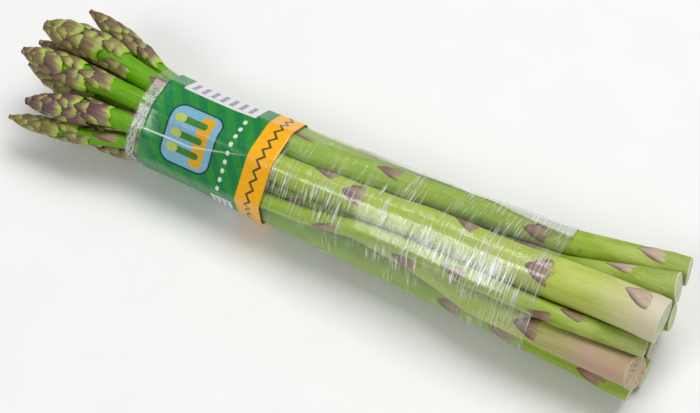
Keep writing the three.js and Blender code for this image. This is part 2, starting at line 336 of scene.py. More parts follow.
@dataclass(frozen=True)
class StemFinish(Finish):
    """Skin of a fresh stem: waxy green, satin, with fine fibres along it."""

    pale: float
    blush: float
    lime: float = 0.5
    tint: str = "#dccbbb"
    blush_from: float = 0.86
    fibre_spacing: float = 0.55
    fibre_length: float = 16.0
    # Pale clouds 22 mm long and 8 mm wide; specks 16 mm apart and about 1 mm wide
    CLOUDS: ClassVar[tuple[float, float, float]] = (45.0, 120.0, 120.0)
    SPECKS: ClassVar[float] = 62.0

    def surface(self, tree: bpy.types.NodeTree) -> bpy.types.Node:
        """Adds the stem's nodes; its colour runs from head to cut end on the UV map.

        Args:
            tree: Node tree of the material.

        Returns:
            The shader node.
        """
        chart = add_node(tree, "UVMap")
        split = add_node(tree, "SeparateXYZ", [chart])
        place = add_node(tree, "TexCoord").outputs["Object"]
        across = 1 / (self.fibre_spacing * MM)
        spread = (1 / (self.fibre_length * MM), across, across)
        fibre_map = add_node(tree, "Mapping", {0: place, "Scale": spread})
        fibres = add_node(
            tree, "TexNoise", {"Vector": fibre_map, "Scale": 1.0, "Detail": 4.0, "Roughness": 0.68}
        )
        cloud_map = add_node(tree, "Mapping", {0: place, "Scale": self.CLOUDS})
        clouds = add_node(
            tree, "TexNoise", {"Vector": cloud_map, "Scale": 1.0, "Detail": 3.0, "Roughness": 0.55}
        )
        mid = blended("#82ac18", "#aec61e", self.lime)
        low = blended("#7d9e2c", "#bac458", self.pale)
        foot = blended("#84a038", "#d2cca4", self.pale)
        ground = add_node(
            tree, "ValToRGB", [split.outputs[1]],
            [(0.0, "#76852e"), (0.06, "#689a06"), (0.12, "#64a200"), (0.24, "#6fa804"), (0.42, mid),
             (0.74, blended(mid, low, 0.55)), (0.9, low), (0.965, foot)],
        )
        streak = add_node(tree, "ValToRGB", [fibres], [(0.3, "#000000"), (0.7, "#ffffff")])
        darker = add_node(tree, "MixRGB", [0.34, ground, streak], blend_type="SOFT_LIGHT")
        cloud_place = add_node(tree, "MapRange", [split.outputs[1], 0.3, 0.85, 0.0, 0.5])
        cloud_level = add_node(tree, "MapRange", [clouds, 0.46, 0.7])
        cloud_share = add_node(tree, "Math", [cloud_place, cloud_level], operation="MULTIPLY")
        clouded = add_node(tree, "MixRGB", [cloud_share, darker, "#cbd37c"])
        blush_place = add_node(
            tree, "MapRange",
            [split.outputs[1], self.blush_from, self.blush_from + 0.1, 0.0, self.blush],
        )
        blush_share = add_node(tree, "Math", [blush_place, clouds], operation="MULTIPLY")
        blush_full = add_node(
            tree, "Math", [blush_share, 1.7], operation="MULTIPLY", use_clamp=True
        )
        blushed = add_node(tree, "MixRGB", [blush_full, clouded, self.tint])
        spots = add_node(tree, "TexVoronoi", {"Vector": place, "Scale": self.SPECKS})
        spot_share = add_node(
            tree, "MapRange", [spots.outputs["Distance"], 0.035, 0.085, 0.55, 0.0]
        )
        spot_place = add_node(tree, "MapRange", [split.outputs[1], 0.35, 0.9, 0.0, 1.0])
        spot_full = add_node(tree, "Math", [spot_share, spot_place], operation="MULTIPLY")
        spotted = add_node(tree, "MixRGB", [spot_full, blushed, "#8a7a3c"])
        rough = add_node(tree, "MapRange", [fibres, 0.0, 1.0, 0.36, 0.6])
        relief = add_node(tree, "Bump", {"Strength": 0.35, "Distance": 0.12 * MM, "Height": fibres})
        return add_node(
            tree, "BsdfPrincipled",
            {"Base Color": spotted, "Roughness": rough, "Normal": relief, "IOR": 1.45,
             "Specular IOR Level": 0.32},
        )


@dataclass(frozen=True)
class BractFinish(Finish):
    """Skin of a scale leaf: thin, matt, pale at its root and mauve brown towards its point."""

    purple: float
    dry: float
    bleached: float = 0.0
    # Patches of tone 6 mm wide; 22 veins across the leaf, drawn coarse enough to show
    PATCHES: ClassVar[float] = 160.0
    VEINS: ClassVar[tuple[float, float, float]] = (22.0, 1.6, 1.0)

    def surface(self, tree: bpy.types.NodeTree) -> bpy.types.Node:
        """Adds the leaf's nodes on its own UV map (across, root to point).

        Args:
            tree: Node tree of the material.

        Returns:
            The shader node.
        """
        chart = add_node(tree, "UVMap")
        split = add_node(tree, "SeparateXYZ", [chart])
        place = add_node(tree, "TexCoord").outputs["Object"]
        patches = add_node(
            tree, "TexNoise", {"Vector": place, "Scale": self.PATCHES, "Detail": 3.0}
        )
        shift = add_node(tree, "MapRange", [patches, 0.3, 0.7, -0.2, 0.2])
        moved = add_node(tree, "Math", [split.outputs[1], shift], operation="ADD")
        root = blended("#a8cc40", "#b5a56c", self.dry)
        low = blended("#a9b960", "#9c8562", max(self.purple * 0.8, self.dry))
        middle = blended("#989048", "#745258", self.purple)
        point = blended("#745c42", "#482e3b", self.purple)
        if self.dry > 0.5:
            middle, point = blended(middle, "#a3866a", 0.85), blended(point, "#84604f", 0.85)
        low, middle, point = (
            blended(tone, "#dccbbd", self.bleached) for tone in (low, middle, point)
        )
        ground = add_node(
            tree, "ValToRGB", [moved], [(0.0, root), (0.14, low), (0.36, middle), (0.78, point)]
        )
        vein_map = add_node(tree, "Mapping", {0: chart, "Scale": self.VEINS})
        vein_field = add_node(tree, "VectorMath", [vein_map, place], operation="ADD")
        veins = add_node(
            tree, "TexNoise", {"Vector": vein_field, "Scale": 1.0, "Detail": 2.0, "Roughness": 0.5}
        )
        vein_tone = add_node(tree, "ValToRGB", [veins], [(0.35, "#000000"), (0.65, "#ffffff")])
        veined = add_node(tree, "MixRGB", [0.34, ground, vein_tone], blend_type="SOFT_LIGHT")
        # Darker towards the sides of the leaf's upper part: partly its own mauve-brown rim, partly
        # painted shade where the leaves overlap and shade each other
        margin = nearness(tree, split, 0.5, (0.2, 0.44), (0.0, 0.92))
        upper = add_node(tree, "MapRange", [moved, 0.12, 0.5])
        rim_and_shade_share = add_node(tree, "Math", [margin, upper], operation="MULTIPLY")
        rim_and_painted_shade = add_node(tree, "MixRGB", [rim_and_shade_share, veined, blended(point, "#6a4452", 0.6)])
        hem = nearness(tree, split, 0.5, (0.4, 0.5), (0.0, 0.25 if self.dry > 0.5 else 0.6))
        lower = add_node(tree, "MapRange", [moved, 0.0, 0.4, 1.0, 0.0])
        pale_share = add_node(tree, "Math", [hem, lower], operation="MULTIPLY")
        hemmed = add_node(
            tree, "MixRGB", [pale_share, rim_and_painted_shade, blended("#cfd096", "#c3b48c", self.dry)]
        )
        relief = add_node(tree, "Bump", {"Strength": 0.4, "Distance": 0.12 * MM, "Height": veins})
        return add_node(
            tree, "BsdfPrincipled",
            {"Base Color": hemmed, "Roughness": 0.52, "Normal": relief, "Specular IOR Level": 0.38},
        )


@dataclass(frozen=True)
class CutFinish(Finish):
    """Cut end of a stem: pale moist pith with darker strands, or dried to tan."""

    state: CutFace
    # Grain of 1.4 mm, strands 1.1 mm apart and stains 5 mm wide, coarse enough to show; each
    # strand is moved by up to 2 mm
    GRAIN: ClassVar[float] = 700.0
    STRANDS: ClassVar[float] = 900.0
    STAINS: ClassVar[float] = 190.0
    SHIFT: ClassVar[float] = 1.9

    def surface(self, tree: bpy.types.NodeTree) -> bpy.types.Node:
        """Adds the cut end's nodes; the rim is paler than the pith.

        Args:
            tree: Node tree of the material.

        Returns:
            The shader node.
        """
        chart = add_node(tree, "UVMap")
        split = add_node(tree, "SeparateXYZ", [chart])
        place = add_node(tree, "TexCoord").outputs["Object"]
        grain = add_node(tree, "TexNoise", {"Vector": place, "Scale": self.GRAIN, "Detail": 4.0})
        nudge = add_node(
            tree, "VectorMath", {0: grain.outputs[1], "Scale": self.SHIFT * MM}, operation="SCALE"
        )
        uneven = add_node(tree, "VectorMath", [place, nudge], operation="ADD")
        strands = add_node(tree, "TexVoronoi", {"Vector": uneven, "Scale": self.STRANDS})
        dried = self.state is CutFace.DRIED
        tones = ("#a98057", "#c2a27a", "#d9c5a3") if dried else ("#98ab5c", "#bcc688", "#d3d8b0")
        strand_tone = add_node(
            tree, "ValToRGB", [strands.outputs["Distance"]],
            [(0.08, tones[0]), (0.35, tones[1]), (0.8, tones[2])],
        )
        mottled = add_node(tree, "MixRGB", [0.5, strand_tone, grain], blend_type="SOFT_LIGHT")
        stains = add_node(tree, "TexNoise", {"Vector": place, "Scale": self.STAINS, "Detail": 2.0})
        stain_share = add_node(tree, "MapRange", [stains, 0.4, 0.6, 0.0, 0.5])
        stained = add_node(
            tree, "MixRGB", [stain_share, mottled, "#dccfb6" if dried else "#dfe5c6"]
        )
        rim_share = add_node(tree, "MapRange", [split.outputs[1], 1.05, 1.16, 0.75, 0.0])
        rimmed = add_node(tree, "MixRGB", [rim_share, stained, "#d9c8a8" if dried else "#dde6c0"])
        relief = add_node(tree, "Bump", {"Strength": 0.6, "Distance": 0.25 * MM, "Height": grain})
        return add_node(
            tree, "BsdfPrincipled",
            {"Base Color": rimmed, "Roughness": 0.7 if dried else 0.48, "Normal": relief},
        )


@dataclass(frozen=True)
class DrawnLines:
    """One set of fine white lines in the film: their turn, how dense, short and ragged they are,
    the noise levels where they begin and are full, and their strength."""

    turn: float
    density: float
    shortness: float
    detail: float
    ragged: float
    begin: float
    full: float
    strength: float


@dataclass(frozen=True)
class FilmFinish(Finish):
    """Stretched cling film: clear and glossy, with fine white stretch lines and painted glints.

    Lines are spaced in millimetres over a span of the film. The glint band and the overlap are
    shares round it: the front upper flank, where the lines are painted whiter as glints, and the
    milky strip where the film lies double.
    """

    haze: float
    line_spacing: float = 0.8
    span: float = 170.0
    glint_band: float = 0.61
    overlap: float = 0.352
    # Whiter patches: 11 along the film and 9 round it
    PATCHES: ClassVar[tuple[float, float, float]] = (11.0, 9.0, 1.0)
    LINES: ClassVar[DrawnLines] = DrawnLines(0.006, 1.0, 7.0, 2.5, 0.25, 0.57, 0.69, 0.62)
    SLANTS: ClassVar[DrawnLines] = DrawnLines(0.09, 0.7, 9.0, 2.0, 0.2, 0.61, 0.68, 0.75)
    THREADS: ClassVar[DrawnLines] = DrawnLines(-0.03, 2.0, 13.0, 2.0, 0.15, 0.54, 0.68, 0.55)

    def line_set(
        self, tree: bpy.types.NodeTree, chart: bpy.types.Node, kind: DrawnLines
    ) -> tuple[bpy.types.Node, bpy.types.Node]:
        """Adds one set of lines.

        Args:
            tree: Node tree.
            chart: Node with the film's UV map.
            kind: The set of lines.

        Returns:
            The noise that the lines come from, and the lines' share of white.
        """
        grains = (self.span / self.line_spacing * kind.density, kind.shortness, 1)
        drift = add_node(
            tree, "Mapping", {0: chart, "Rotation": (0, 0, kind.turn), "Scale": grains}
        )
        marks = add_node(
            tree, "TexNoise",
            {"Vector": drift, "Scale": 1.0, "Detail": kind.detail, "Distortion": kind.ragged},
        )
        share = add_node(tree, "MapRange", [marks, kind.begin, kind.full, 0.0, kind.strength])
        return marks, share

    def surface(self, tree: bpy.types.NodeTree) -> bpy.types.Node:
        """Adds the film's nodes on its UV map (share along, share around).

        Args:
            tree: Node tree of the material.

        Returns:
            The shader node.
        """
        chart = add_node(tree, "UVMap")
        split = add_node(tree, "SeparateXYZ", [chart])
        lines, line_share = self.line_set(tree, chart, self.LINES)
        slant_share = self.line_set(tree, chart, self.SLANTS)[1]
        thread_share = self.line_set(tree, chart, self.THREADS)[1]
        patch_map = add_node(tree, "Mapping", {0: chart, "Scale": self.PATCHES})
        patches = add_node(tree, "TexNoise", {"Vector": patch_map, "Scale": 1.0, "Detail": 2.0})
        patch_share = add_node(tree, "MapRange", [patches, 0.42, 0.66, 0.13, 1.0])
        # Painted glints: the white lines grow stronger over the film's cut-end half, where the key
        # light's glints fall
        glint_run = add_node(tree, "MapRange", [split, 0.45, 0.8, 0.5, 1.15])
        coarse = add_node(tree, "Math", [line_share, slant_share], operation="ADD")
        both = add_node(tree, "Math", [coarse, thread_share], operation="ADD")
        white = add_node(tree, "Math", [both, patch_share], operation="MULTIPLY")
        # Painted glints: the lines are whiter still in a band on the front upper flank, which faces
        # the key light's mirror direction; elsewhere they are the film's own stretch marks
        painted_glint_band = nearness(tree, split.outputs[1], self.glint_band, (0.03, 0.12), (1.6, 0.48))
        glint_place = add_node(tree, "Math", [glint_run, painted_glint_band], operation="MULTIPLY")
        lines_with_glints = add_node(tree, "Math", [white, glint_place], operation="MULTIPLY")
        doubled = nearness(tree, split.outputs[1], self.overlap, (0.026, 0.034), (0.42, 0.0))
        milky_run = add_node(tree, "MapRange", [split, 0.35, 0.62])
        milky = add_node(tree, "Math", [doubled, milky_run], operation="MULTIPLY")
        drawn = add_node(tree, "Math", [lines_with_glints, milky], operation="ADD")
        hazed = add_node(tree, "Math", [drawn, self.haze], operation="ADD", use_clamp=True)
        relief = add_node(tree, "Bump", {"Strength": 0.8, "Distance": 0.25 * MM, "Height": lines})
        clear = add_node(tree, "BsdfTransparent")
        gloss = add_node(
            tree, "BsdfPrincipled",
            {"Base Color": "#ffffff", "Metallic": 1.0, "Roughness": 0.13, "Normal": relief},
        )
        facing = add_node(tree, "LayerWeight", {"Blend": 0.5, "Normal": relief})
        steep = add_node(tree, "Math", [facing.outputs["Facing"], 4.0], operation="POWER")
        edge = add_node(tree, "MapRange", [steep, 0.0, 1.0, 0.037, 0.19])
        glossy_film = add_node(tree, "MixShader", [edge, clear, gloss])
        # White film for the stretch marks, the doubled strip and the gathered edge, and also for
        # the painted glints
        white_film_and_glints = add_node(
            tree, "BsdfPrincipled",
            {"Base Color": "#f4f6f0", "Roughness": 0.25, "Normal": relief,
             "Specular IOR Level": 0.8},
        )
        return add_node(tree, "MixShader", [hazed, glossy_film, white_film_and_glints])


@dataclass(frozen=True)
class SleeveFinish(Finish):
    """Glossy printed plastic: green stripes, a plain panel with three spears, a warm band.

    The UV map holds decimetres: along the sleeve from its tip-side edge, and around it
    from the seam underneath.
    """

    length: float
    band: float = 10.4
    panel: tuple[float, float] = (18.5, 73.0)
    # Per millimetre: stripes 6 mm apart and scuffs 2 mm wide
    STRIPES: ClassVar[float] = 0.05
    SCUFFS: ClassVar[float] = 0.5

    def mask(
        self,
        tree: bpy.types.NodeTree,
        along: bpy.types.NodeSocket,
        around: bpy.types.NodeSocket,
        centre: tuple[float, float],
        half: tuple[float, float],
        corner: float,
    ) -> bpy.types.Node:
        """Adds the nodes that are 1 inside a rounded rectangle.

        Args:
            tree: Node tree.
            along: Place along the sleeve in millimetres.
            around: Place around the sleeve in millimetres.
            centre: Middle of the shape in millimetres.
            half: Half its size along and around.
            corner: Radius of its corners.

        Returns:
            Node that is 1 inside and 0 outside.
        """
        over = []
        for socket, middle, reach in ((along, centre[0], half[0]), (around, centre[1], half[1])):
            away = add_node(tree, "Math", [socket, middle], operation="SUBTRACT")
            apart = add_node(tree, "Math", [away], operation="ABSOLUTE")
            past = add_node(tree, "Math", [apart, reach - corner], operation="SUBTRACT")
            over.append(add_node(tree, "Math", [past, 0.0], operation="MAXIMUM"))
        joined = add_node(tree, "CombineXYZ", over)
        reach = add_node(tree, "VectorMath", [joined], operation="LENGTH")
        return add_node(
            tree, "MapRange", [reach.outputs["Value"], corner - 0.12, corner + 0.12, 1.0, 0.0]
        )

    def surface(self, tree: bpy.types.NodeTree) -> bpy.types.Node:
        """Adds the sleeve's nodes with its generic print.

        Args:
            tree: Node tree of the material.

        Returns:
            The shader node.
        """
        chart = add_node(tree, "UVMap")
        sized = add_node(tree, "VectorMath", {0: chart, "Scale": 100.0}, operation="SCALE")
        split = add_node(tree, "SeparateXYZ", [sized])
        along, around = split.outputs[0], split.outputs[1]
        stripe_map = add_node(tree, "Mapping", {0: sized, "Rotation": (0, 0, 0.6)})
        stripes = add_node(tree, "TexWave", {"Vector": stripe_map, "Scale": self.STRIPES})
        ground = add_node(
            tree, "ValToRGB", [stripes.outputs["Fac"]], [(0.4, "#007c3c"), (0.6, "#1f8a30")]
        )
        colour = ground
        u, v = self.panel
        # Each printed shape: its centre, its half size, the radius of its corners, its colour
        shapes: list[tuple[tuple[float, float], tuple[float, float], float, str]] = [
            ((21.7, 45.0), (15.3, 9.5), 0.5, "#e6e4ea"),
            ((35.5, 101.0), (4.5, 8.5), 0.5, "#e6e4ea"),
            ((u, v), (10.6, 12.6), 5.0, "#0d3b33"),
            ((u, v), (9.9, 11.9), 4.4, "#7fb2cc"),
            ((u + 4.5, v), (2.6, 10.6), 1.6, "#e0a91a"),
        ]
        for step in range(-1, 2):
            middle = v + 6.2 * step
            shapes.append(((u - 1.2, middle), (6.4, 1.35), 1.3, "#3a7d20"))
            shapes.append(((u - 6.0, middle), (2.3, 1.7), 1.6, "#b9c862"))
        for step in range(7):
            shapes.append(((9.6 + 4.0 * step, 49.5), (0.9, 3.4), 0.2, "#9192a0"))
        for step in range(3):
            shapes.append(((33.0 + 2.4 * step, 97.5), (0.5, 3.0), 0.2, "#9192a0"))
        for step in range(9):
            shapes.append(((34.6, 58.0 + 3.6 * step), (0.75, 0.95), 0.7, "#dfe8da"))
        for centre, half, corner, code in shapes:
            inside = self.mask(tree, along, around, centre, half, corner)
            colour = add_node(tree, "MixRGB", [inside, colour, code])
        band_start = self.length - self.band
        in_band = add_node(tree, "MapRange", [along, band_start - 0.08, band_start + 0.08])
        banded = add_node(tree, "MixRGB", [in_band, colour, "#fcb400"])
        fold = add_node(tree, "Math", [around, 2.2], operation="PINGPONG")
        tilt = add_node(tree, "Math", [along, band_start + 4.1], operation="SUBTRACT")
        zigzag = nearness(tree, tilt, fold, (0.5, 0.7))
        lined = add_node(tree, "MixRGB", [zigzag, banded, "#5a4a12"])
        # Painted highlight: a pale line along the fold, fading towards the band, stands for the
        # light that the crease catches; the fold also gets a real bump below
        bend = add_node(tree, "MapRange", [along, 19.0, 42.3, 76.5, 70.3])
        folded = nearness(tree, around, bend, (0.1, 0.5))
        fading = add_node(tree, "MapRange", [along, 20.0, 44.0, 0.85, 0.05])
        fold_highlight = add_node(tree, "Math", [folded, fading], operation="MULTIPLY")
        fold_highlit = add_node(tree, "MixRGB", [fold_highlight, lined, "#e4efe6"])
        scuffs = add_node(tree, "TexNoise", {"Vector": sized, "Scale": self.SCUFFS, "Detail": 4.0})
        worn = add_node(tree, "MixRGB", [0.18, fold_highlit, scuffs], blend_type="SOFT_LIGHT")
        rough = add_node(tree, "MapRange", [scuffs, 0.3, 0.7, 0.2, 0.34])
        height = add_node(tree, "Math", [scuffs, folded], operation="ADD")
        relief = add_node(tree, "Bump", {"Strength": 0.25, "Distance": 0.4 * MM, "Height": height})
        return add_node(
            tree, "BsdfPrincipled",
            {"Base Color": worn, "Roughness": rough, "Normal": relief, "IOR": 1.5,
             "Coat Weight": 0.35, "Coat Roughness": 0.12},
        )


@dataclass(frozen=True)
class FloorFinish(Finish):
    """Matt pale board that the bundle lies on."""

    name: str = "pale_matt_board"
    # Mottle of 25 mm
    MOTTLE: ClassVar[float] = 40.0

    def surface(self, tree: bpy.types.NodeTree) -> bpy.types.Node:
        """Adds the floor's nodes with a very faint mottle.

        Args:
            tree: Node tree of the material.

        Returns:
            The shader node.
        """
        place = add_node(tree, "TexCoord").outputs["Object"]
        mottle = add_node(tree, "TexNoise", {"Vector": place, "Scale": self.MOTTLE})
        tone = add_node(tree, "ValToRGB", [mottle], [(0.3, "#f7f7f6"), (0.7, "#fafaf9")])
        return add_node(tree, "BsdfPrincipled", {"Base Color": tone, "Roughness": 0.85})


class CentreLine:
    """Middle line of a spear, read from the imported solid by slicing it."""

    STEP = 1.5
    SMOOTH = 5
    PITCH = 0.5
    SPARE = 6.0

    def __init__(self, node: bpy.types.Object, tip_x: float, cut_x: float) -> None:
        """Slices the node's mesh across X.

        Args:
            node: Packed spear.
            tip_x: Where its stem begins, without the bracts.
            cut_x: Middle of its cut end.
        """
        self.tip_x = tip_x
        self.cut_x = cut_x
        mesh = node.data
        mesh.calc_loop_triangles()
        points = np.array([v.co[:] for v in mesh.vertices]) / MM
        corners = np.array([t.vertices[:] for t in mesh.loop_triangles])
        triangles = points[corners]
        places = np.arange(tip_x + 1.2, cut_x - 3.6, self.STEP)
        centres = np.array([self.section_centre(triangles, x) for x in places])
        padded = np.pad(
            centres, ((self.SMOOTH, self.SMOOTH), (0, 0)), mode="reflect", reflect_type="odd"
        )
        window = np.hanning(2 * self.SMOOTH + 3)[1:-1]
        window /= window.sum()
        ys = np.convolve(padded[:, 0], window, "valid")
        zs = np.convolve(padded[:, 1], window, "valid")
        self.start = tip_x - self.SPARE
        count = int((self.cut_x + self.SPARE - self.start) / self.PITCH) + 2
        fine = self.start + self.PITCH * np.arange(count)
        self.ys = self.carried_on(fine, places, ys)
        self.zs = self.carried_on(fine, places, zs)
        self.turned = [self.lean(self.start + k * self.PITCH) for k in range(count)]

    @staticmethod
    def section_centre(triangles: np.ndarray, x: float) -> tuple[float, float]:
        """Centre of area of the solid's cut at x.

        Args:
            triangles: Corner points, shaped (count, 3, 3).
            x: Place of the cut.

        Returns:
            Y and Z of the centre.
        """
        low = triangles[:, :, 0] < x
        cut = triangles[low.any(1) & ~low.all(1)]
        low = cut[:, :, 0] < x
        single = low.sum(1) == 1
        lone = np.where(single, low.argmax(1), (~low).argmax(1))
        rows = np.arange(len(cut))
        a, b, c = (cut[rows, (lone + k) % 3] for k in range(3))
        p = a + (b - a) * ((x - a[:, 0]) / (b[:, 0] - a[:, 0]))[:, None]
        q = a + (c - a) * ((x - a[:, 0]) / (c[:, 0] - a[:, 0]))[:, None]
        cross = (p[:, 1] * q[:, 2] - p[:, 2] * q[:, 1]) * np.where(single, 1, -1)
        area = cross.sum()
        y = ((p[:, 1] + q[:, 1]) * cross).sum() / (3 * area)
        z = ((p[:, 2] + q[:, 2]) * cross).sum() / (3 * area)
        return float(y), float(z)

    @staticmethod
    def carried_on(fine: np.ndarray, places: np.ndarray, values: np.ndarray) -> list[float]:
        """Values at fine places, going straight on beyond the ends of the given ones.

        Args:
            fine: Where values are wanted.
            places: Rising places.
            values: Their values.

        Returns:
            The values at the fine places.
        """
        read = np.interp(fine, places, values)
        for edge, inner, past in ((0, 3, fine < places[0]), (-1, -4, fine > places[-1])):
            slope = (values[inner] - values[edge]) / (places[inner] - places[edge])
            read[past] = values[edge] + slope * (fine[past] - places[edge])
        return read.tolist()

    def at(self, x: float) -> Vector:
        """Point of the line at x, in millimetres.

        Args:
            x: Place along the bundle in millimetres.

        Returns:
            The point.
        """
        share = (x - self.start) / self.PITCH
        k = min(max(int(share), 0), len(self.ys) - 2)
        t = share - k
        y, z = (row[k] + (row[k + 1] - row[k]) * t for row in (self.ys, self.zs))
        return Vector((x, y, z))

    def lean(self, x: float) -> tuple[Vector, Vector]:
        """Directions to the side and over the spear at x, as in the part.

        Args:
            x: Place along the bundle in millimetres.

        Returns:
            The two unit vectors.
        """
        to_tip = (self.at(x - 1.5) - self.at(x + 1.5)).normalized()
        side = (Vector((0, 1, 0)) - to_tip * to_tip.y).normalized()
        over = side.cross(to_tip).normalized()
        if over.z < 0:
            over.negate()
        return side, over

    def axes(self, x: float) -> tuple[Vector, Vector]:
        """The kept directions nearest to x."""
        k = round((x - self.start) / self.PITCH)
        return self.turned[min(max(k, 0), len(self.turned) - 1)]


@dataclass
class Spear:
    """One asparagus spear: a stem with its bracts, buds and cut end."""

    node: str
    tip: float
    end: float
    head_length: float
    blunt: float
    turn: float
    radii: tuple[float, float, float, float, float]
    purple: float
    pale: float
    blush: float
    lime: float = 0.5
    lower_bracts: tuple[tuple[float, float], ...] = ()
    cut: CutFace = CutFace.FRESH
    slope: float = 0.0
    tint: str = "#dccbbb"
    blush_from: float = 0.86
    sides: int = 40
    scale_wall: float = 0.28
    line: CentreLine = field(init=False)
    dice: random.Random = field(init=False)

    # Material slots, in the order in which build() fills them
    SKIN, HEAD_BRACT, CUT_END, STEM_BRACT, BUD, PALE_BRACT = range(6)

    def __post_init__(self) -> None:
        """Reads the spear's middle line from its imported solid."""
        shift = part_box("film")[0].x / MM - FILM_START
        self.line = CentreLine(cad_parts[self.node], self.tip + shift, self.end + shift)
        self.dice = random.Random(self.node)

    def radius(self, x: float) -> float:
        """Radius of the bare stem at x, in millimetres.

        Args:
            x: Place along the bundle in millimetres.

        Returns:
            The radius.
        """
        neck = eased(PLAN_X, self.radii, x)
        share = (x - self.line.tip_x) / self.head_length
        if share >= 1:
            return neck
        pointed = along_line(HEAD_SHARE, POINTED_HEAD, share)
        blunt = along_line(HEAD_SHARE, BLUNT_HEAD, share)
        return neck * (pointed + (blunt - pointed) * self.blunt)

    def skin(self, x: float, angle: float, lift: float) -> Vector:
        """Point over the stem's skin at x and an angle round it.

        Args:
            x: Place along the bundle in millimetres.
            angle: Angle round it in radians.
            lift: Height over the skin in millimetres.

        Returns:
            The point.
        """
        side, over = self.line.axes(x)
        reach = max(self.radius(x) + lift, 0.05)
        return self.line.at(x) + side * (math.cos(angle) * reach) + over * (math.sin(angle) * reach)

    def bract_places(self) -> list[tuple[float, float]]:
        """Each bract's distance from the tip and its angle round the stem, as in the part.

        Returns:
            Pairs of distance and angle.
        """
        spiral = [(root, self.turn + k * GOLDEN_ANGLE) for k, root in enumerate(BRACT_ROOTS)]
        if not self.lower_bracts:
            return spiral
        return [place for place in spiral if place[0] < LOWER_STEM] + list(self.lower_bracts)

    def swelling(self, x: float, angle: float) -> float:
        """Relief of the stem's skin: low ribs, and a swelling below each bract.

        Args:
            x: Place along the bundle in millimetres.
            angle: Angle round it in radians.

        Returns:
            Height in millimetres.
        """
        ribs = 0.07 * math.sin(5 * angle + self.turn * 3 + 0.02 * x)
        ribs += 0.05 * math.sin(9 * angle - self.turn + 0.013 * x)
        waves = 0.16 * noise.noise(Vector((x * 0.05, math.cos(angle), self.turn)))
        bump = 0.0
        for root, middle in self.bract_places():
            apart = x - (self.line.tip_x + root)
            if root > 36 and -9 < apart < 14:
                facing = max(math.cos(angle - middle), 0)
                rise = math.exp(-((apart - 0.5) / (5.0 if apart > 0.5 else 2.2)) ** 2)
                bump += (0.12 + 0.26 * facing) * rise
        return ribs + waves + bump

    def stem(self, mesh: bmesh.types.BMesh) -> None:
        """Adds the stem's skin and its cut end.

        Args:
            mesh: Mesh that gets it.
        """
        tip_x, cut_x = self.line.tip_x, self.line.cut_x
        length = cut_x - tip_x
        rim = 0.35
        # Rings close together at the tip, then about every 1.5 mm
        rows = [tip_x + s for s in (0.05, 0.4, 1.0, 1.8, 2.8, 4.0, 5.5)]
        count = int((length - 7.0) / 1.5)
        rows += [tip_x + 7.0 + (length - 7.0 - rim) * k / count for k in range(count + 1)]
        last = len(rows) - 1
        # Rings of the cut end: share of the radius and of the rim's depth
        caps = [
            (1.0, 0.5), (0.94, 1.0), (0.86, 0.72), (0.7, 0.66), (0.5, 0.6), (0.25, 0.6), (0.0, 0.6),
        ]
        total = last + len(caps)
        flare = 0.3 if self.cut is CutFace.DRIED else 0.0

        def place(across: float, along: float) -> Vector:
            """Point of the skin or of the cut end."""
            angle = across * 2 * math.pi
            row = round(along * total)
            if row == 0:
                return self.line.at(tip_x + 0.05)
            if row <= last:
                x = rows[row]
                near_cut = max(0.0, 1 - (cut_x - x) / 5.0)
                spot = self.skin(x, angle, self.swelling(x, angle) + flare * near_cut**2)
                return self.sheared(spot, max(0.0, 1 - (cut_x - x) / 12.0))
            share, depth = caps[row - last - 1]
            full = self.radius(cut_x) + self.swelling(cut_x, angle) + flare
            rough = noise.noise(
                Vector((share * 3, math.cos(angle) * 3, math.sin(angle) * 3 + self.turn))
            )
            x = cut_x - rim + rim * depth + (0.22 * rough * share * (share < 0.9))
            side, over = self.line.axes(cut_x)
            centre = self.line.at(min(x, cut_x))
            spot = centre + (side * math.cos(angle) + over * math.sin(angle)) * (full * share)
            return self.sheared(spot, 1.0)

        def chart(across: float, along: float) -> tuple[float, float]:
            """Chart of the skin up to the cut, then of the cut end."""
            row = round(along * total)
            if row > last:
                return across, 2 - caps[row - last - 1][0]
            return across, (rows[row] - tip_x) / STEM_CHART

        faces = mapped_grid(mesh, self.sides, total, place, chart, closed=True)
        edge = (rows[last] - tip_x) / STEM_CHART - 1e-6
        uv = mesh.loops.layers.uv.verify()
        for face in faces:
            if min(loop[uv].uv.y for loop in face.loops) > edge:
                face.material_index = self.CUT_END
        bmesh.ops.recalc_face_normals(mesh, faces=faces)

    def sheared(self, spot: Vector, share: float) -> Vector:
        """Moves a point along the bundle by its share of an oblique cut's slope.

        Args:
            spot: The point.
            share: 0 far from the cut and 1 on it.

        Returns:
            The moved point.
        """
        middle = self.line.at(self.line.cut_x)
        off = (spot.y - middle.y) * CUT_FACING[0] + (spot.z - middle.z) * CUT_FACING[1]
        return spot - Vector((self.slope * share * off, 0, 0))

    def bract(
        self,
        mesh: bmesh.types.BMesh,
        root_x: float,
        middle: float,
        length: float,
        half_width: float,
        rise: float,
        base_lift: float,
        material: int,
        spurs: float = 1.0,
        grid: tuple[int, int] = (10, 9),
    ) -> None:
        """Adds one scale leaf that hugs the stem.

        Args:
            mesh: Mesh that gets the leaf.
            root_x: Place of its root along the bundle.
            middle: Angle of its middle round the stem.
            length: Length from root to point.
            half_width: Half its width at the widest.
            rise: How far its belly stands off the stem.
            base_lift: How far its root stands off the stem.
            material: Material slot number.
            spurs: How ragged its root edge is.
            grid: Faces across and along.
        """
        tip_x = self.line.tip_x
        seed = self.dice.random() * 100
        lean = self.dice.uniform(-0.12, 0.12)
        cusp = self.dice.uniform(-0.25, 0.25)
        ragged = spurs * self.dice.uniform(0.09, 0.17)
        skew = self.dice.uniform(-0.08, 0.08)
        open_tip = self.dice.uniform(0.05, 0.45) * rise

        def place(across: float, along: float) -> Vector:
            """Point of the leaf."""
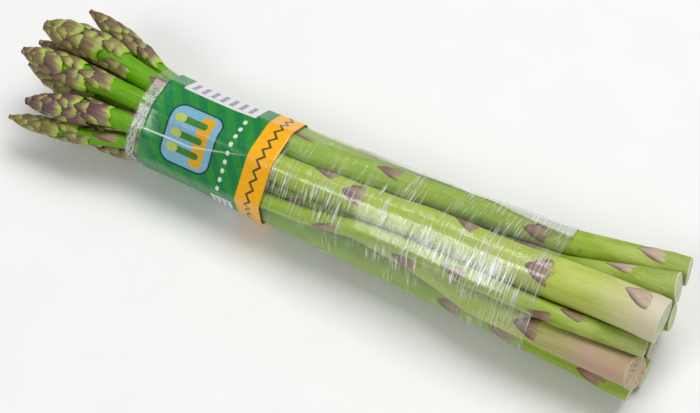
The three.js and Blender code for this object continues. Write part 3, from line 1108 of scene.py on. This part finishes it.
            # Width: full near the root, then drawn in to the point
            u = across * 2 - 1
            width = half_width * max(
                min(0.86 + along * 1.6, 1.0) * (1 - max(along - 0.12, 0) ** 1.7 * 1.24) ** 0.9
                if along < 0.985 else 0.04, 0.04,
            )
            # Cusps along the root edge
            bent = u - cusp * (1 - abs(u))
            cusps = 1 - abs(math.sin(math.pi * bent)) ** 0.75
            back = ragged * length * cusps * max(0, 1 - along * 4)
            x = root_x - along * length + back + skew * length * u * (1 - along)
            x = max(x, tip_x - 0.9 + abs(u) * 0.2)
            at = max(x, tip_x + 0.1)
            reach = max(self.radius(at), 0.6)
            turn = middle + lean * along + u * width / reach
            # Lift: a belly that hugs the stem at its sides, a keel, a little waviness
            belly = math.sin(math.pi * min(0.12 + along * 0.86, 1.0)) ** 0.8
            hug = 1 - 0.55 * abs(u) ** 1.6
            lift = base_lift * (1 - along) + rise * belly * hug + open_tip * along**2
            lift += 0.16 * (1 - abs(u)) ** 3 * (1 - along * 0.5)
            lift += 0.10 * noise.noise(Vector((u * 2.2, along * 3, seed)))
            end = min(max((x - tip_x) / 7.0, 0.0), 1.0)
            lift *= 0.35 + 0.65 * end
            return self.skin(max(x, tip_x - 0.9), turn, max(lift, 0.08))

        mapped_grid(mesh, *grid, place, lambda across, along: (across, along), material)

    def leaves(self, mesh: bmesh.types.BMesh) -> None:
        """Adds all the bracts and buds, each a thin closed scale.

        Args:
            mesh: Mesh that gets it.
        """
        sheets = bmesh.new()
        self.scales(sheets)
        sheets.normal_update()
        first = sheets.faces[:][0]
        middle = first.calc_center_median()
        if first.normal.dot(middle - self.line.at(middle.x / MM) * MM) < 0:
            bmesh.ops.reverse_faces(sheets, faces=sheets.faces[:])
        bmesh.ops.solidify(sheets, geom=sheets.faces[:], thickness=self.scale_wall * MM)
        for face in sheets.faces:
            face.smooth = True
        data = bpy.data.meshes.new("scales")
        sheets.to_mesh(data)
        sheets.free()
        mesh.from_mesh(data)
        bpy.data.meshes.remove(data)

    def scales(self, mesh: bmesh.types.BMesh) -> None:
        """Adds the bracts' sheets, from the outermost of the head to the last on the stem.

        Args:
            mesh: Mesh that gets it.
        """
        tip_x = self.line.tip_x
        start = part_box("film")[0].x / MM
        for root, middle in self.bract_places():
            root_x = tip_x + root
            if root_x > self.line.cut_x - 3:
                continue
            head = along_line((0, 32, 46), (1, 1, 0), root)
            if root_x > start - 1:
                head = 0.0
            # Longer away from the tip, up to 10.8 mm
            length = min(3.4 + 0.52 * root, 10.8)
            neck = self.radius(root_x)
            half_width = neck * (0.66 + 0.42 * head) + 0.3
            rise = 0.28 + 0.92 * head * min(neck / 4.0, 1.15)
            dry = head < 0.25
            material = self.STEM_BRACT if dry else self.HEAD_BRACT
            if root > LAST_BRACT:
                material = self.PALE_BRACT
            spurs = 0.3 if dry else 1.0 if root > 9 else 0.4
            self.bract(
                mesh, root_x + 0.4, middle, length, half_width, rise, 0.03 if dry else 0.12,
                material, spurs,
            )
            if head > 0.3 and root > 4:
                self.bud(mesh, root_x, middle, length, half_width, rise)

    def bud(
        self,
        mesh: bmesh.types.BMesh,
        root_x: float,
        middle: float,
        length: float,
        half_width: float,
        rise: float,
    ) -> None:
        """Adds the side bud behind a head bract: small scales that peep out beside it.

        Args:
            mesh: Mesh that gets it.
            root_x: Place of the bract's root.
            middle: Angle of the bract's middle.
            length: The bract's length.
            half_width: Half the bract's width.
            rise: How far the bract's belly stands off.
        """
        neck = max(self.radius(root_x), 1.5)
        for side in (-1, 1):
            turn = middle + side * (0.62 * half_width / neck + self.dice.uniform(-0.05, 0.1))
            size = length * self.dice.uniform(0.5, 0.68)
            self.bract(
                mesh, root_x - 0.32 * length, turn, size, half_width * 0.46,
                rise * 0.95, 0.2, self.BUD, spurs=0.5, grid=(6, 6),
            )
        self.bract(
            mesh, root_x - 0.62 * length, middle + self.dice.uniform(-0.15, 0.15), length * 0.7,
            half_width * 0.5, rise * 1.05, 0.25, self.BUD, spurs=0.5, grid=(6, 6),
        )

    def build(self) -> bpy.types.Object:
        """Builds the spear and dresses it.

        Returns:
            The finished piece.
        """
        mesh = bmesh.new()
        self.stem(mesh)
        self.leaves(mesh)
        label = self.node
        materials = [
            StemFinish(
                f"{label}_skin", self.pale, self.blush, self.lime, self.tint, self.blush_from
            ).material(),
            BractFinish(f"{label}_head_bract", self.purple, 0.0).material(),
            CutFinish(f"{label}_cut_{self.cut.value}", self.cut).material(),
            BractFinish(f"{label}_stem_bract", max(self.purple - 0.1, 0.3), 0.8).material(),
            BractFinish(f"{label}_bud", self.purple * 0.7, 0.15).material(),
            BractFinish(f"{label}_last_bract", 0.3, 0.8, 0.55).material(),
        ]
        return finish_piece(mesh, f"{label}_fresh", materials, [label])


class Hull:
    """Tight outline round all the spears at any place along the bundle."""

    def __init__(self, spears: Sequence[Spear]) -> None:
        """Keeps the spears and the directions in which the outline is felt.

        Args:
            spears: The spears inside.
        """
        self.spears = spears
        self.angles = np.linspace(-math.pi, math.pi, 721)[:-1]
        self.kept: dict[float, tuple[np.ndarray, Vector]] = {}

    def outline(self, x: float) -> tuple[np.ndarray, Vector]:
        """Polygon of the outline at x with no clearance, and its middle.

        Args:
            x: Place along the bundle in millimetres.

        Returns:
            Points as an array of Y and Z, and the middle.
        """
        key = round(x, 3)
        if key not in self.kept:
            centres = np.array([s.line.at(x)[1:] for s in self.spears])
            radii = np.array([s.radius(x) for s in self.spears])
            ways = np.stack([np.cos(self.angles), np.sin(self.angles)], 1)
            reach = centres @ ways.T + radii[:, None]
            touched = reach.argmax(0)
            points = centres[touched] + ways * radii[touched][:, None]
            low, high = points.min(0), points.max(0)
            self.kept[key] = (points, Vector((x, *((low + high) / 2))))
        return self.kept[key]

    def point(self, x: float, angle: float, offset: float) -> Vector:
        """Point of the outline at an angle round its middle, pushed out by an offset.

        Args:
            x: Place along the bundle in millimetres.
            angle: Angle round it in radians.
            offset: Clearance in millimetres.

        Returns:
            The point.
        """
        polygon, middle = self.outline(x)
        rel = polygon - np.array(middle[1:])
        way = np.array([math.cos(angle), math.sin(angle)])
        after = np.roll(rel, -1, 0)
        side = way[0] * rel[:, 1] - way[1] * rel[:, 0]
        side_after = way[0] * after[:, 1] - way[1] * after[:, 0]
        ahead = (rel + after) @ way > 0
        hits = np.nonzero(ahead & (side <= 0) & (side_after > 0))[0]
        k = int(hits[0])
        t = side[k] / (side[k] - side_after[k])
        hit = rel[k] + (after[k] - rel[k]) * t
        edge = after[k] - rel[k]
        normal = np.array([edge[1], -edge[0]])
        size = float(np.hypot(*normal))
        normal = normal / size if size > 1e-9 else way
        out = hit + way * offset / max(float(normal @ way), 0.5)
        return Vector((x, middle.y + float(out[0]), middle.z + float(out[1])))


@dataclass
class Film:
    """Clear wrap drawn over the spears, with its tip-side edge gathered to a rope."""

    hull: Hull
    clearance: float = 0.86
    farthest: float = 0.94
    wall: float = 0.08
    under_sleeve: tuple[float, float] = (-72.6, -20.0)
    columns: int = 190
    rows: int = 150
    strands: int = 4
    strand_radius: float = 0.44
    strand_rolls: int = 7
    tucked_at: float = math.radians(145)

    def span(self) -> tuple[float, float]:
        """Ends of the wrap along the bundle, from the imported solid.

        Returns:
            The two places in millimetres.
        """
        low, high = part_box("film")
        return low.x / MM, high.x / MM

    def wrinkle(self, x: float, angle: float) -> float:
        """Height of the fine creases that run round the bundle, in millimetres.

        Args:
            x: Place along the bundle in millimetres.
            angle: Angle round it in radians.

        Returns:
            The height.
        """
        field_at = Vector((x * 0.55, math.cos(angle) * 1.2, math.sin(angle) * 1.2))
        fine = noise.noise(field_at) * 0.09
        return fine + noise.noise(field_at * 0.35 + Vector((7, 0, 0))) * 0.12

    def wrap(self) -> bpy.types.Object:
        """Builds the wrap itself.

        Returns:
            The finished piece.
        """
        start, end = self.span()
        mesh = bmesh.new()

        def place(across: float, along: float) -> Vector:
            """Point of the wrap."""
            angle = across * 2 * math.pi - math.pi / 2
            x = start + (end - start) * along
            covered = self.under_sleeve[0] < x < self.under_sleeve[1]
            lift = self.clearance + (0.0 if covered else self.wrinkle(x, angle))
            return self.hull.point(x, angle, min(lift, self.farthest))

        faces = mapped_grid(
            mesh, self.columns, self.rows, place, lambda across, along: (along, across), closed=True
        )
        bmesh.ops.recalc_face_normals(mesh, faces=faces)
        bmesh.ops.solidify(mesh, geom=faces, thickness=self.wall * MM)
        for face in mesh.faces:
            face.smooth = True
        finish = FilmFinish("stretched_cling_film", haze=0.012, span=end - start)
        return finish_piece(mesh, "film_wrap", [finish.material()], ["film"])

    def rope(self, index: int) -> bpy.types.Object:
        """Builds one strand of the gathered edge.

        Args:
            index: Which strand it is.

        Returns:
            The finished piece.
        """
        start, _ = self.span()
        mesh = bmesh.new()
        phase = index * 2 * math.pi / self.strands

        def hidden(angle: float) -> float:
            """How far the strand is tucked away, from 0 to 1."""
            return (0.5 + 0.5 * math.cos(angle - self.tucked_at)) ** 3

        def middle(angle: float) -> Vector:
            """Point of the strand's middle line."""
            roll = self.strand_rolls * angle + phase
            drift = noise.noise(Vector((math.cos(angle) * 2, math.sin(angle) * 2, index * 3)))
            x = start + 1.6 + 4.9 * hidden(angle) + 1.0 * math.cos(roll) + 0.8 * drift
            rise = 0.6 + 0.3 * (1 - hidden(angle)) * (1 + math.sin(roll)) / 2
            return self.hull.point(x, angle - math.pi / 2, rise)

        def place(across: float, along: float) -> Vector:
            """Point of the strand."""
            angle = along * 2 * math.pi
            centre = middle(angle)
            ahead = (middle(angle + 0.01) - centre).normalized()
            out = Vector((0, math.cos(angle - math.pi / 2), math.sin(angle - math.pi / 2)))
            out = (out - ahead * out.dot(ahead)).normalized()
            sideways = ahead.cross(out)
            turn = across * 2 * math.pi
            spot = Vector((math.cos(angle) * 6, math.sin(angle) * 6, index))
            swell = 1 + 0.35 * noise.noise(spot)
            pleats = 1 + 0.16 * math.sin(turn * 4 + angle * 22)
            reach = self.strand_radius * swell * pleats * (1 - 0.35 * hidden(angle))
            return centre + (out * math.sin(turn) + sideways * math.cos(turn)) * reach

        faces = mapped_grid(
            mesh, 14, 260, place, lambda across, along: (across * 0.1, along), closed=True
        )
        bmesh.ops.recalc_face_normals(mesh, faces=faces)
        finish = FilmFinish(f"gathered_film_{index}", haze=0.3, span=17.0)
        return finish_piece(mesh, f"film_gather_{index}", [finish.material()])

    def build(self) -> list[bpy.types.Object]:
        """Builds the wrap and the strands of its gathered edge."""
        return [self.wrap()] + [self.rope(index) for index in range(self.strands)]


@dataclass
class Sleeve:
    """Printed sleeve over the film, near the tips."""

    hull: Hull
    clearance: float = 1.58
    wall: float = 0.24
    columns: int = 200
    rows: int = 70

    def build(self) -> bpy.types.Object:
        """Builds the sleeve.

        Returns:
            The finished piece.
        """
        low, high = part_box("label")
        start, end = low.x / MM, high.x / MM
        mesh = bmesh.new()
        middle = (start + end) / 2
        ring = [
            self.hull.point(middle, 2 * math.pi * k / 360 - math.pi / 2, self.clearance)
            for k in range(361)
        ]
        walked = [0.0]
        for before, after in zip(ring, ring[1:]):
            walked.append(walked[-1] + (after - before).length)
        LOG.info("sleeve girth %.1f mm", walked[-1])

        def place(across: float, along: float) -> Vector:
            """Point of the sleeve."""
            angle = across * 2 * math.pi - math.pi / 2
            x = start + (end - start) * along
            spot = Vector((x * 0.09, math.cos(angle) * 2.5, math.sin(angle) * 2.5))
            return self.hull.point(x, angle, self.clearance - 0.08 + 0.1 * noise.noise(spot))

        def chart(across: float, along: float) -> tuple[float, float]:
            """Chart of the sleeve in decimetres."""
            girth = along_line(range(361), walked, across * 360)
            return (end - start) * along / 100, girth / 100

        faces = mapped_grid(mesh, self.columns, self.rows, place, chart, closed=True)
        bmesh.ops.recalc_face_normals(mesh, faces=faces)
        bmesh.ops.solidify(mesh, geom=faces, thickness=self.wall * MM)
        for face in mesh.faces:
            face.smooth = True
        finish = SleeveFinish("printed_gloss_sleeve", end - start)
        return finish_piece(mesh, "label_sleeve", [finish.material()], ["label"])


@dataclass(frozen=True)
class Studio:
    """Pale floor, soft lights and the camera at the photograph's angle.

    Each lamp has a name, a place in metres, a size in metres and a power in watts.
    """

    azimuth: float = 28.02
    elevation: float = 58.33
    distance: float = 0.69334
    aim: tuple[float, float] = (0.006316, 0.006384)
    lens: float = 93.6
    lamps: tuple[tuple[str, tuple[float, float, float], float, float], ...] = (
        ("key_softbox", (-0.24, -0.76, 0.9), 0.34, 3.0),
        ("top_softbox", (0.15, 0.4, 1.25), 0.8, 11.8),
    )
    air: float = 0.27

    def camera(self) -> None:
        """Places the camera, whose frame is the photograph's."""
        turn, rise = math.radians(self.azimuth), math.radians(self.elevation)
        right = Vector((math.cos(turn), math.sin(turn), 0))
        level = math.cos(rise)
        back = Vector((math.sin(turn) * level, -math.cos(turn) * level, math.sin(rise)))
        up = back.cross(right)
        place = right * self.aim[0] + up * self.aim[1] + back * self.distance
        data = bpy.data.cameras.new("camera")
        data.lens, data.sensor_width, data.sensor_fit = self.lens, 36.0, "HORIZONTAL"
        data.clip_start, data.clip_end = 0.01, 20.0
        camera = bpy.data.objects.new("camera", data)
        facing = Matrix((right, up, back)).transposed().to_4x4()
        camera.matrix_world = Matrix.Translation(place) @ facing
        bpy.context.scene.collection.objects.link(camera)
        bpy.context.scene.camera = camera

    def light(self, name: str, place: Sequence[float], size: float, power: float) -> None:
        """Adds a soft square light that faces the bundle.

        Args:
            name: Name of the lamp.
            place: Its place in metres.
            size: Its side in metres.
            power: Its power in watts.
        """
        data = bpy.data.lights.new(name, "AREA")
        data.shape, data.size, data.energy = "SQUARE", size, power
        lamp = bpy.data.objects.new(name, data)
        spot = Vector(place)
        facing = (-spot).to_track_quat("-Z", "Y").to_matrix().to_4x4()
        lamp.matrix_world = Matrix.Translation(spot) @ facing
        bpy.context.scene.collection.objects.link(lamp)

    def floor(self) -> None:
        """Lays the pale floor."""
        mesh = bmesh.new()
        bmesh.ops.create_grid(mesh, x_segments=8, y_segments=8, size=4.0)
        data = bpy.data.meshes.new("floor")
        mesh.to_mesh(data)
        mesh.free()
        floor = bpy.data.objects.new("floor", data)
        data.materials.append(FloorFinish().material())
        bpy.context.scene.collection.objects.link(floor)

    def build(self) -> None:
        """Sets up the floor, the lights, the sky and the camera."""
        self.floor()
        self.camera()
        for lamp in self.lamps:
            self.light(*lamp)
        world = bpy.data.worlds.new("studio_air")
        world.use_nodes = True
        tree = world.node_tree
        tree.nodes.clear()
        air = add_node(tree, "Background", ["#ffffff", self.air])
        add_node(tree, "OutputWorld", [air])
        bpy.context.scene.world = world
        bpy.context.scene.view_settings.view_transform = "Standard"


def spears() -> list[Spear]:
    """The twelve spears with their sizes, as in the part, and their colouring.

    Returns:
        The spears in order.
    """
    rows = [
        ("spear_01", -128.5, 131.5, 42, 0.35, 0.3, (3.9, 5.2, 6.3, 7.5, 7.9), 0.5, 0.95, 0.75, 0.8,
         ((134, 0.75), (146.5, 1.75), (189, 0.8), (220, 1.95), (255, 1.2))),
        ("spear_02", -126.5, 131.5, 36, 1.0, 1.9, (4.2, 4.5, 4.8, 5.1, 5.2), 0.2, 0.35, 0.0, 0.4,
         ((116, 0.4), (152, 1.2), (208, 2.1), (249.5, 1.35))),
        ("spear_03", -119.5, 129.5, 38, 0.45, 3.1, (3.7, 4.3, 5.0, 5.9, 6.1), 0.95, 0.7, 0.8, 0.5,
         ((115, 2.9), (163.5, 2.7), (213.5, 2.2))),
        ("spear_04", -125.5, 129.5, 35, 0.0, 4.4, (2.6, 2.9, 3.2, 3.4, 3.6), 0.2, 0.4, 0.1, 0.5,
         ((137.5, 2.9), (189, 2.25), (223, 2.8), (232.5, 1.3))),
        ("spear_05", -107, 130, 34, 0.2, 0.9, (3.9, 4.6, 5.0, 5.4, 5.5), 0.45, 0.48, 0.4, 0.1,
         ((128, 4.4), (171, 2.6), (192, 2.8), (227, 2.6))),
        ("spear_06", -116, 130.5, 33, 0.0, 2.2, (2.8, 3.4, 3.8, 4.2, 4.4), 0.55, 0.4, 0.1, 0.4,
         ((129, 0.6), (166, 1.4), (205, 5.1))),
        ("spear_07", -107, 131, 35, 0.2, 5.1, (3.8, 4.2, 4.5, 4.8, 5.0), 0.4, 0.4, 0.1, 0.3),
        ("spear_08", -116.5, 131.5, 34, 0.1, 2.8, (3.9, 4.4, 4.8, 5.1, 5.2), 0.45, 0.5, 0.3, 0.2),
        ("spear_09", -122, 129.5, 37, 0.1, 0.1, (4.0, 4.5, 4.9, 5.2, 5.3), 0.5, 0.4, 0.1, 0.3),
        ("spear_10", -123, 132.5, 34, 0.0, 3.7, (3.6, 4.2, 4.7, 5.1, 5.2), 0.7, 0.3, 0.0, 0.3),
        ("spear_11", -129.5, 131, 36, 0.0, 5.6, (3.6, 4.1, 4.7, 5.3, 5.5), 0.55, 0.3, 0.0, 0.3,
         ((128, 1.9), (170, 4.3), (211.5, 0.9), (246, 1.0))),
        ("spear_12", -129, 130.5, 39, 0.0, 4.9, (3.6, 4.1, 4.7, 5.1, 5.2), 0.3, 0.5, 0.3, 0.3),
    ]
    made = [Spear(*row) for row in rows]
    made[2].cut = CutFace.DRIED
    made[2].slope = 0.45
    made[2].tint = "#c49c90"
    made[2].blush_from = 0.74
    made[11].cut = CutFace.DRIED
    return made


def main() -> None:
    """Builds every piece in order and reports it."""
    logging.basicConfig(level=logging.INFO, format="%(message)s")
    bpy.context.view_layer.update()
    bundle = spears()
    Studio().build()
    for spear in bundle:
        LOG.info("built %s", spear.build().name)
    hull = Hull(bundle)
    for piece in Film(hull).build():
        LOG.info("built %s", piece.name)
    LOG.info("built %s", Sleeve(hull).build().name)


if __name__ == "__main__":
    main()
